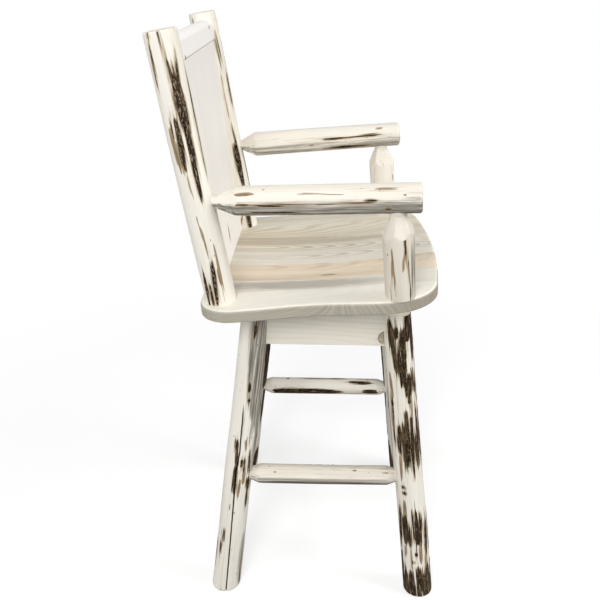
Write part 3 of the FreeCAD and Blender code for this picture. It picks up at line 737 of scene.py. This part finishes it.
# the first streak of each arm greys its underside: weathering and painted shade
ARM_RIGHT_GREY_AND_SHADE = (
    (-160, -36, 660, -33, 25), (352, 34, 468, 34, 5.5), (340, 8, 470, 8, 7), (346, -12, 466, -12, 7))
ARM_LEFT_GREY_AND_SHADE = ((-160, -36, 660, -33, 25),)
ARM_LEFT_BARK = ((225, -42, 340, -38, 3), (226, 9, 290, 11, 2.4), (270, 12, 356, 16, 1.5))
ARM_LEFT_STAIN = ((222, 8, 360, 16, 3.0), (352, 48, 374, 50, 2.4), (190, -14, 206, -14, 3.0))


def from_point(looks, tip):
    """The looks of a log, with its streaks measured from its point in place of the axis before it."""
    moved = dict(looks)
    for key in ("bark", "stain", "grey"):
        streaks = looks.get(key, ())
        moved[key] = [(s0 - tip / MM, a0, s1 - tip / MM, a1, half) for s0, a0, s1, a1, half in streaks]
    return moved


def make_arm(name, side, taper, seed, **looks):
    """One arm, pared to a point that enters the post."""
    rear = seat_point(side * POST_HALF, POST_FOOT + ARM_REAR_H * math.tan(POST_LEAN), ARM_REAR_H)
    front = seat_point(side * SUPPORT_HALF, -SUPPORT_FRONT, ARM_FRONT_H)
    way = (front - rear).normalized()
    tip = POST_R + NECK
    length = (front - rear).length + ARM_OVERHANG - tip
    point = Pared(taper, ARM_FACETS, ARM_FACET_TURN, ARM_TENON_R, ARM_TENON_LEN)
    make_log("arm_" + name, "seat", rear + way * tip, way, length, (ARM_R, ARM_R),
             (point, Cut(ARM_END_ROUND)), TOWARDS_CAMERA, UP, seed, **from_point(looks, tip))


make_arm("right", -1, ARM_TAPER_RIGHT, 7, bark=ARM_RIGHT_BARK, stain=ARM_RIGHT_STAIN, grey=ARM_RIGHT_GREY_AND_SHADE,
         hidden=(7, 125, 280), crack=((120, 215), (330, 225)), age=-0.45, tanned=0.30)
make_arm("left", 1, ARM_TAPER_LEFT, 8, bark=ARM_LEFT_BARK, stain=ARM_LEFT_STAIN, grey=ARM_LEFT_GREY_AND_SHADE,
         hidden=(7, 125, 280), age=-0.74, tanned=0.28)

# Arm supports: mm from the seat up
SUPPORT_RIGHT_BARK = ((4, 38, 30, 38, 2.4), (30, 36, 126, 17, 1.3))
SUPPORT_RIGHT_STAIN = (
    (4, 39, 128, 16, 2.6), (58, 6, 96, 12, 2.4), (8, -20, 108, -32, 2.4), (4, -40, 100, -30, 1.6),
    (4, -72, 62, -72, 1.4))
# the two wide streaks grey the side turned to the front: tan weathering and painted shade
SUPPORT_RIGHT_GREY_AND_SHADE = ((110, -70, 190, -70, 4), (-20, 54, 134, 52, 9.5), (-20, 80, 136, 80, 12))
SUPPORT_LEFT_BARK = ((52, 8, 58, 8, 2.6),)
SUPPORT_LEFT_STAIN = ((80, 58, 104, 54, 3), (4, 66, 70, 64, 2), (4, -60, 60, -56, 2))


def make_support(name, side, turn, tip_r, seed, **looks):
    """One arm support, a log with a faceted point, tenoned into the seat and the arm."""
    foot = seat_point(side * SUPPORT_HALF, -SUPPORT_FRONT, 0)
    length = ARM_FRONT_H - ARM_R - NECK
    point = Pared(SUPPORT_TAPER, SUPPORT_FACETS, math.radians(turn), tip_r, SUPPORT_TENON_LEN)
    radii = (SUPPORT_FOOT_END_R, SUPPORT_TOP_END_R)
    make_log("arm_support_" + name, "seat", foot, SEAT_NORMAL, length, radii,
             (Tenon(SUPPORT_FOOT_R, SEAT_T), point), TOWARDS_CAMERA, FORWARD, seed, **looks)


make_support("right", -1, 9, SUPPORT_TIP_R_RIGHT, 9, bark=SUPPORT_RIGHT_BARK, stain=SUPPORT_RIGHT_STAIN,
             grey=SUPPORT_RIGHT_GREY_AND_SHADE, hidden=(3, 110, 250), crack=((5, 170), (90, 172)), tanned=0.90)
make_support("left", 1, -6, SUPPORT_TIP_R_LEFT, 10, bark=SUPPORT_LEFT_BARK, stain=SUPPORT_LEFT_STAIN,
             hidden=(3, 110, 250))

# Stretchers: mm from the front or right leg axis, degrees positive upwards
# the wide streak greys the lower flat: weathering and painted shade
STRETCHER_RIGHT_GREY_AND_SHADE = ((20, -40, 370, -44, 12), (190, -6, 370, 2, 3))
STRETCHER_RIGHT_FLATS = ((40, 32), (-21, 29))   # middle and half turn, in degrees
STRETCHER_RIGHT_STAIN = ((118, 62, 126, 62, 2.4), (296, 44, 304, 44, 3.0), (40, 50, 60, 52, 1.6))
STRETCHER_LEFT_BARK = ((140, -16, 390, -18, 10), (44, -10, 92, -10, 6.5), (66, 57, 128, 62, 4.4),
                       (130, 92, 178, 94, 3.5), (286, 88, 296, 88, 3))


def make_stretcher(name, corner, way, z, hint, seed, **looks):
    """One stretcher, pared to a point at both ends; its corner gives the signs of X and Y at its start."""
    half = leg_half(z)
    start = Vector((corner[0] * half, AXIS_Y + corner[1] * half, z))
    tip = leg_r(z) - STRETCHER_SINK
    tenon = tip - STRETCHER_TENON_STOP
    point = Pared(STRETCHER_TAPER, STRETCHER_FACETS, STRETCHER_FACET_TURN, STRETCHER_TENON_R, tenon)
    side = UP if hint == TOWARDS_CAMERA else FORWARD
    make_log("stretcher_" + name, "base", start + way * tip, way, 2 * half - 2 * tip,
             (STRETCHER_R, STRETCHER_R), (point, point), hint, side, seed, **from_point(looks, tip))


ACROSS = Vector((1, 0, 0))
BACKWARDS = Vector((0, 1, 0))
DROOPING = Vector((0, 1, -0.0085)).normalized()   # backwards and a little down
make_stretcher("right", (-1, -1), DROOPING, SIDE_STRETCHER_Z, TOWARDS_CAMERA, 11, stain=STRETCHER_RIGHT_STAIN,
               grey=STRETCHER_RIGHT_GREY_AND_SHADE, hidden=(4, 138, 240), age=0.04, tanned=0.62,
               flats=STRETCHER_RIGHT_FLATS)
make_stretcher("left", (1, -1), BACKWARDS, SIDE_STRETCHER_Z, TOWARDS_CAMERA, 12, bark=STRETCHER_LEFT_BARK,
               hidden=(5, 90, 250), age=-0.24, tanned=0.20)
make_stretcher("front", (-1, -1), ACROSS, END_STRETCHER_Z, UP, 13, hidden=(8, -180, 180))
make_stretcher("rear", (-1, 1), ACROSS, END_STRETCHER_Z, UP, 14, hidden=(8, -180, 180))


# Boards
Figure = namedtuple("Figure", "pith spacing drift lines broad")
Patch = namedtuple("Patch", "middle size tone share")
WARP_SCALE = (9, 9, 2.2)
WARP = (0.030, 0.030, 0)
PATCH_WARP = (0.15, 0.15, 0.15)
BOARD_SPECULAR = 0.28
BOARD_RELIEF = 0.0004
BOARD_RELIEF_STRENGTH = 0.5
SEAT_EDGE_PALE = (0.41, 0.38, 0.31)
SEAT_EDGE_DARK = (0.29, 0.265, 0.205)
SEAT_EDGE_SHARE = 0.90
SEAT_SHADE = (0.17, 0.13, 0.085)
EDGE_WAVE = 11.0          # how fast the slant of the end grain changes along the seat
EDGE_SLANT = 2.0          # how much it changes
EDGE_SLANT_MEAN = 1.2
EDGE_SCALE_X = 90.0
EDGE_SCALE_Y = 200.0


def seat_edge(m, colour, place):
    """A board's colour with end grain on the faces that stand, darker towards the front."""
    x, y, z = m.parts(place)
    normal = m.tree.nodes.new("ShaderNodeTexCoord").outputs["Normal"]
    lying = m.math("ABSOLUTE", m.parts(normal)[2])
    slant = m.math("MULTIPLY", m.math("SINE", m.math("MULTIPLY", y, EDGE_WAVE)), EDGE_SLANT)
    slant = m.math("ADD", slant, EDGE_SLANT_MEAN)
    shift = m.math("MULTIPLY", m.math("SUBTRACT", z, SEAT_HEIGHT), slant)
    cut_x = m.math("MULTIPLY", x, EDGE_SCALE_X)
    cut_y = m.math("MULTIPLY", m.math("ADD", y, shift), EDGE_SCALE_Y)
    cut = m.noise(m.join(cut_x, cut_y, 0.0), 4, 0.65)
    side = m.tint(SEAT_EDGE_PALE, SEAT_EDGE_DARK, cut, 0.36, 0.64)
    side = m.mix(m.step(y, -0.27, -0.08, 0.60, 0.0), side, SEAT_SHADE)
    return m.mix(m.step(lying, 0.45, 0.92, SEAT_EDGE_SHARE, 0.0), colour, side)


def board_material(name, along_axis, pale, dark, figure, seed, patches=(), has_edge=False):
    """Planed pine as a solid texture: rings about a pith line, fibres and slow changes of tone."""
    m = Shade(name)
    place = m.place()
    x, y, z = m.parts(place)
    across, up, run = {"x": (y, z, x), "y": (x, z, y), "z": (x, y, z)}[along_axis]
    point = m.join(across, up, m.math("ADD", run, seed))
    warp = m.noise_vector(m.vector("MULTIPLY", point, WARP_SCALE))
    warp = m.vector("MULTIPLY", m.vector("SUBTRACT", warp, (0.5, 0.5, 0.5)), WARP)
    lead = m.join(m.math("MULTIPLY", run, figure.drift), 0.0, 0.0)
    bent = m.vector("ADD", m.vector("ADD", point, warp), lead)
    from_pith = m.vector("MULTIPLY", m.vector("SUBTRACT", bent, (*figure.pith, 0)), (1, 1, 0))
    ring = m.math("MULTIPLY", m.vector("LENGTH", from_pith), 2 * math.pi / figure.spacing)
    ring = m.step(m.math("SINE", ring), -0.2, 1.0)
    broad = m.grain_noise(point, 26, 2.0, 3, 0.55)
    fibre = m.grain_noise(point, 520, 9, 4, 0.6)
    tone = m.swayed(m.math("MULTIPLY", ring, figure.lines), (fibre, 0.5))
    cloud = m.math("MULTIPLY", m.math("SUBTRACT", broad, 0.45), 2 * figure.broad)
    colour = m.tint(pale, dark, m.math("ADD", tone, cloud), -0.25, 0.95)
    if has_edge:
        colour = seat_edge(m, colour, place)
    near = m.vector("ADD", place, m.vector("MULTIPLY", warp, PATCH_WARP))
    # patches of tone: marks in the wood, and painted light and shade
    for patch in patches:
        offset = m.vector("SUBTRACT", near, patch.middle)
        far = m.swayed(m.vector("LENGTH", m.vector("DIVIDE", offset, patch.size)), (fibre, 1.4))
        colour = m.mix(m.step(far, 0.55, 1.05, patch.share, 0.0), colour, patch.tone)
    m.set(Base_Color=colour, Roughness=m.step(fibre, 0.3, 0.7, 0.50, 0.68), Specular_IOR_Level=BOARD_SPECULAR)
    m.bump(m.math("ADD", m.math("MULTIPLY", ring, 0.4), fibre), BOARD_RELIEF, BOARD_RELIEF_STRENGTH)
    return m.material


def dress(node, material):
    """Gives a CAD node its material."""
    nodes[node].data.materials.clear()
    nodes[node].data.materials.append(material)


SEAT_PAINTED_SHADOW = (0.46, 0.425, 0.37)
SEAT_TAN = (0.50, 0.43, 0.32)
SEAT_PAINTED_LIGHT_PEACH = (0.84, 0.74, 0.60)
SEAT_PAINTED_LIGHT_PALE = (0.88, 0.82, 0.71)
DARK_LINE = (0.20, 0.155, 0.10)
DARK_KNOT = (0.045, 0.030, 0.020)
SEAT_MARKS_AND_PAINTED_LIGHT = {
    # painted shadow of the near arm across the second board
    2: (Patch((-0.168, 0.02, 0.76), (0.031, 0.20, 0.1), SEAT_PAINTED_SHADOW, 0.85),),
    # the pale patches at the front of boards 3 to 5 are painted light
    3: (Patch((-0.13, -0.24, 0.77), (0.06, 0.11, 0.1), SEAT_PAINTED_LIGHT_PEACH, 0.70),
        Patch((-0.1165, -0.035, 0.752), (0.0040, 0.022, 0.1), DARK_LINE, 0.85)),
    4: (Patch((-0.05, -0.25, 0.77), (0.06, 0.10, 0.1), SEAT_PAINTED_LIGHT_PALE, 0.60),),
    5: (Patch((0.03, -0.24, 0.77), (0.06, 0.10, 0.1), SEAT_PAINTED_LIGHT_PALE, 0.60),
        Patch((0.097, 0.06, 0.745), (0.024, 0.30, 0.1), SEAT_TAN, 0.80)),
    6: (Patch((0.118, 0.10, 0.745), (0.014, 0.22, 0.1), SEAT_TAN, 0.80),),
}
SEAT_BOARDS = (
    # pale, dark, figure
    ((0.89, 0.86, 0.775), (0.79, 0.755, 0.65), Figure((-0.20, 0.60), 0.0050, 0.02, 0.25, 0.35)),
    ((0.84, 0.80, 0.71), (0.62, 0.58, 0.49), Figure((-0.10, 0.68), 0.0045, 0.00, 0.30, 0.60)),
    ((0.79, 0.69, 0.55), (0.57, 0.445, 0.305), Figure((-0.06, 0.70), 0.0060, 0.03, 0.28, 0.85)),
    ((0.87, 0.83, 0.75), (0.57, 0.51, 0.405), Figure((0.00, 0.735), 0.0050, 0.06, 0.55, 0.50)),
    ((0.85, 0.80, 0.70), (0.54, 0.465, 0.35), Figure((0.06, 0.72), 0.0055, -0.05, 0.50, 0.60)),
    ((0.82, 0.77, 0.65), (0.56, 0.48, 0.35), Figure((0.22, 0.66), 0.0060, 0.02, 0.35, 0.70)),
    ((0.78, 0.73, 0.62), (0.54, 0.475, 0.37), Figure((0.30, 0.62), 0.0055, 0.00, 0.35, 0.70)))
SEAT_SEED = 2.3
for number, (pale, dark, figure) in enumerate(SEAT_BOARDS, 1):
    material = board_material("seat_pine_%d" % number, "y", pale, dark, figure, number * SEAT_SEED,
                              SEAT_MARKS_AND_PAINTED_LIGHT.get(number, ()), has_edge=True)
    dress("seat_board_%d" % number, material)

BACK_PALE = (0.92, 0.89, 0.85)
BACK_DARK = (0.82, 0.77, 0.69)
BACK_BOARDS = 4
BACK_SEED = 3.1
BACK_PITH_X = -0.16
BACK_PITH_STEP = 0.1
BACK_PITH_Y = (0.10, 0.32)   # even and odd boards
BACK_FLAWS = {3: (Patch((0.0125, 0.188, 0.793), (0.007, 0.02, 0.026), DARK_LINE, 0.85),)}
for number in range(1, BACK_BOARDS + 1):
    pith = (BACK_PITH_X + BACK_PITH_STEP * number, BACK_PITH_Y[number % 2])
    material = board_material("back_pine_%d" % number, "z", BACK_PALE, BACK_DARK,
                              Figure(pith, 0.006, 0.01, 0.25, 0.35), number * BACK_SEED,
                              BACK_FLAWS.get(number, ()))
    dress("back_board_%d" % number, material)

CREST_PALE = (0.96, 0.93, 0.90)
CREST_FIGURE = Figure((0.30, 1.10), 0.006, 0.01, 0.2, 0.3)
CREST_SEED = 5.2
CREST_MARKS_AND_PAINTED_SHADOW = (
    # painted shadow line where the crest stands proud of the boards, pin holes
    Patch((0.0, 0.2305, 1.1866), (0.60, 0.010, 0.0017), DARK_LINE, 0.58),
    Patch((-0.1590, 0.2305, 1.1880), (0.0065, 0.010, 0.0056), DARK_KNOT, 0.95),
    Patch((0.1696, 0.2356, 1.2148), (0.0065, 0.010, 0.0050), DARK_KNOT, 0.95))
dress("crest_rail", board_material("crest_pine", "x", CREST_PALE, BACK_PALE, CREST_FIGURE, CREST_SEED,
                                   CREST_MARKS_AND_PAINTED_SHADOW))

APRON_PALE = (0.87, 0.83, 0.735)
APRON_DARK = (0.72, 0.66, 0.52)
APRON_FIGURE = Figure((0.05, 0.52), 0.006, 0.02, 0.25, 0.4)
APRON_SEED = 9
APRON_SEED_STEP = 1.7
BASE_FIGURE = Figure((0.06, 0.55), 0.006, 0.03, 0.4, 0.5)
BASE_SEED = 21.0
POCKET_SHADE_AND_TONE = (0.40, 0.335, 0.225)
POCKET_SHARE = 0.80
POCKET_FLOOR = 0.150         # floor of a pocket from the swivel axis
POCKET_SET = 0.1266          # axis of a pocket from the middle of its apron
POCKET_Z = 0.6265
POCKET_DEEP = 0.0165
POCKET_WIDE = 0.0225
pocket = Vector((-POCKET_FLOOR, -POCKET_SET))
for number, (name, axis) in enumerate((("right", "y"), ("front", "x"), ("left", "y"), ("rear", "x"))):
    spread = (POCKET_DEEP, POCKET_WIDE) if axis == "y" else (POCKET_WIDE, POCKET_DEEP)
    # inside each bored pocket: painted shade of the recess, and the darker tone of its cut end grain
    bored = Patch((pocket.x, AXIS_Y + pocket.y, POCKET_Z), (*spread, POCKET_WIDE), POCKET_SHADE_AND_TONE, POCKET_SHARE)
    seed = APRON_SEED_STEP * number + APRON_SEED
    dress("apron_" + name, board_material("apron_pine_" + name, axis, APRON_PALE, APRON_DARK, APRON_FIGURE,
                                          seed, (bored,)))
    pocket = Vector((-pocket.y, pocket.x))
dress("base_board", board_material("base_pine", "y", APRON_PALE, APRON_DARK, BASE_FIGURE, BASE_SEED))


CLOUD_SCALE = (60, 60, 60)
SCRATCH_SCALE = (90, 1600, 90)
METAL_ROUGH_SPREAD = 0.18
METAL_RELIEF = 0.0002
METAL_RELIEF_STRENGTH = 0.3


def metal_material(name, pale, dark, rough):
    """Plated steel with cloudy tone and fine scratches."""
    m = Shade(name)
    place = m.place()
    cloud = m.noise(m.vector("MULTIPLY", place, CLOUD_SCALE), 4, 0.6)
    scratch = m.noise(m.vector("MULTIPLY", place, SCRATCH_SCALE), 3, 0.6)
    tone = m.math("ADD", m.math("MULTIPLY", cloud, 0.7), m.math("MULTIPLY", scratch, 0.3))
    m.set(Base_Color=m.tint(pale, dark, tone, 0.35, 0.65), Metallic=1.0,
          Roughness=m.step(tone, 0.3, 0.7, rough, rough + METAL_ROUGH_SPREAD))
    m.bump(scratch, METAL_RELIEF, METAL_RELIEF_STRENGTH)
    return m.material


STEEL = metal_material("swivel_steel", (0.56, 0.56, 0.56), (0.40, 0.40, 0.41), 0.30)
BALL_STEEL = metal_material("ball_steel", (0.70, 0.70, 0.71), (0.60, 0.60, 0.61), 0.12)
ZINC = metal_material("zinc_screw", (0.72, 0.60, 0.34), (0.58, 0.50, 0.36), 0.30)
for node in ("swivel_lower_plate", "swivel_upper_plate", "swivel_rivet", "ball_cage"):
    dress(node, STEEL)
dress("bearing_balls", BALL_STEEL)
for node in ("base_board_screws", "swivel_base_screws", "swivel_seat_screws", "back_board_screws"):
    dress(node, ZINC)

# Camera
CAMERA_AT = Vector((-1.5863, -0.0321, 1.3531))
CAMERA_WAY = Vector((0.9109, 0.0350, -0.4112))
LENS_MM = 45.41
SENSOR_MM = 36.0
camera_data = bpy.data.cameras.new("camera")
camera_data.lens = LENS_MM
camera_data.sensor_width = SENSOR_MM
camera = bpy.data.objects.new("camera", camera_data)
camera.location = CAMERA_AT
camera.rotation_euler = CAMERA_WAY.to_track_quat("-Z", "Y").to_euler()
scene.collection.objects.link(camera)
scene.camera = camera


# Light and floor
HORIZON_LIGHT = 0.60
ZENITH_LIGHT = 0.28
LAMP_AIM = Vector((0, 0, 0.65))
LAMPS = (
    # name, place, size, watts
    ("key", Vector((-2.95, 0.55, 2.5)), 1.1, 55.0),
    ("top", Vector((-1.3, 0.3, 3.6)), 0.8, 9.0),
    ("front_fill", Vector((-0.7, -3.2, 2.2)), 1.8, 71.0),
    ("rear_fill", Vector((-2.0, 2.7, 1.3)), 1.6, 22.0),
    ("low_fill", Vector((-3.0, -0.3, 0.6)), 1.4, 5.0))
FLOOR_SIZE = 40.0
FLOOR_Z = -0.0005
FLOOR_WHITE = 0.50
FLOOR_GLOW = 0.60
FLOOR_BOUNCE = 0.14
FLOOR_NEAR = 0.6   # the floor keeps its shadows up to here
FLOOR_FAR = 1.8    # and is plain white from here


def seen_directly(tree):
    """1 for camera, glossy and transmission rays."""
    path = tree.nodes.new("ShaderNodeLightPath")
    total = path.outputs["Is Camera Ray"]
    for key in ("Is Glossy Ray", "Is Transmission Ray"):
        node = tree.nodes.new("ShaderNodeMath")
        node.operation = "MAXIMUM"
        tree.links.new(total, node.inputs[0])
        tree.links.new(path.outputs[key], node.inputs[1])
        total = node.outputs[0]
    return total


def make_world():
    """A light tent, brighter at its walls than above, and plain white where it is seen."""
    world = bpy.data.worlds.new("world")
    world.use_nodes = True
    tree = world.node_tree
    lit = tree.nodes["Background"]
    lit.inputs["Color"].default_value = (1, 1, 1, 1)
    place = tree.nodes.new("ShaderNodeTexCoord")
    split = tree.nodes.new("ShaderNodeSeparateXYZ")
    tree.links.new(place.outputs["Generated"], split.inputs[0])
    ramp = tree.nodes.new("ShaderNodeMapRange")
    ramp.inputs["To Min"].default_value = HORIZON_LIGHT
    ramp.inputs["To Max"].default_value = ZENITH_LIGHT
    tree.links.new(split.outputs[2], ramp.inputs["Value"])
    tree.links.new(ramp.outputs["Result"], lit.inputs["Strength"])
    white = tree.nodes.new("ShaderNodeBackground")
    white.inputs["Color"].default_value = (1, 1, 1, 1)
    mix = tree.nodes.new("ShaderNodeMixShader")
    tree.links.new(seen_directly(tree), mix.inputs[0])
    tree.links.new(lit.outputs[0], mix.inputs[1])
    tree.links.new(white.outputs[0], mix.inputs[2])
    tree.links.new(mix.outputs[0], tree.nodes["World Output"].inputs["Surface"])
    scene.world = world


def make_floor():
    """A pale floor that keeps the shadow near the stool and goes to plain white further out."""
    half = FLOOR_SIZE / 2
    mesh = bpy.data.meshes.new("floor")
    corners = [(-half, -half, 0), (half, -half, 0), (half, half, 0), (-half, half, 0)]
    mesh.from_pydata(corners, [], [(0, 1, 2, 3)])
    floor = bpy.data.objects.new("floor", mesh)
    floor.location = (0, 0, FLOOR_Z)
    scene.collection.objects.link(floor)
    m = Shade("floor_paper")
    tree = m.tree
    distance = m.vector("LENGTH", m.place())
    near = tree.nodes.new("ShaderNodeBsdfDiffuse")
    near.inputs["Color"].default_value = (FLOOR_WHITE, FLOOR_WHITE, FLOOR_WHITE, 1)
    far = tree.nodes.new("ShaderNodeEmission")
    glow = tree.nodes.new("ShaderNodeEmission")
    glow.inputs["Strength"].default_value = FLOOR_GLOW
    lit = tree.nodes.new("ShaderNodeAddShader")
    tree.links.new(near.outputs[0], lit.inputs[0])
    tree.links.new(glow.outputs[0], lit.inputs[1])
    bounce = tree.nodes.new("ShaderNodeBsdfDiffuse")
    bounce.inputs["Color"].default_value = (FLOOR_BOUNCE, FLOOR_BOUNCE, FLOOR_BOUNCE, 1)
    shown = tree.nodes.new("ShaderNodeMixShader")
    tree.links.new(m.step(distance, FLOOR_NEAR, FLOOR_FAR), shown.inputs[0])
    tree.links.new(lit.outputs[0], shown.inputs[1])
    tree.links.new(far.outputs[0], shown.inputs[2])
    mix = tree.nodes.new("ShaderNodeMixShader")
    tree.links.new(seen_directly(tree), mix.inputs[0])
    tree.links.new(bounce.outputs[0], mix.inputs[1])
    tree.links.new(shown.outputs[0], mix.inputs[2])
    tree.links.new(mix.outputs[0], tree.nodes["Material Output"].inputs["Surface"])
    mesh.materials.append(m.material)


def make_lamps():
    """Large soft lamps: a key from above on the camera's left, a lamp overhead and three fills."""
    for name, place, size, watts in LAMPS:
        light = bpy.data.lights.new(name, "AREA")
        light.size = size
        light.energy = watts
        lamp = bpy.data.objects.new(name, light)
        lamp.location = place
        lamp.rotation_euler = (LAMP_AIM - place).to_track_quat("-Z", "Y").to_euler()
        scene.collection.objects.link(lamp)


make_world()
make_floor()
make_lamps()
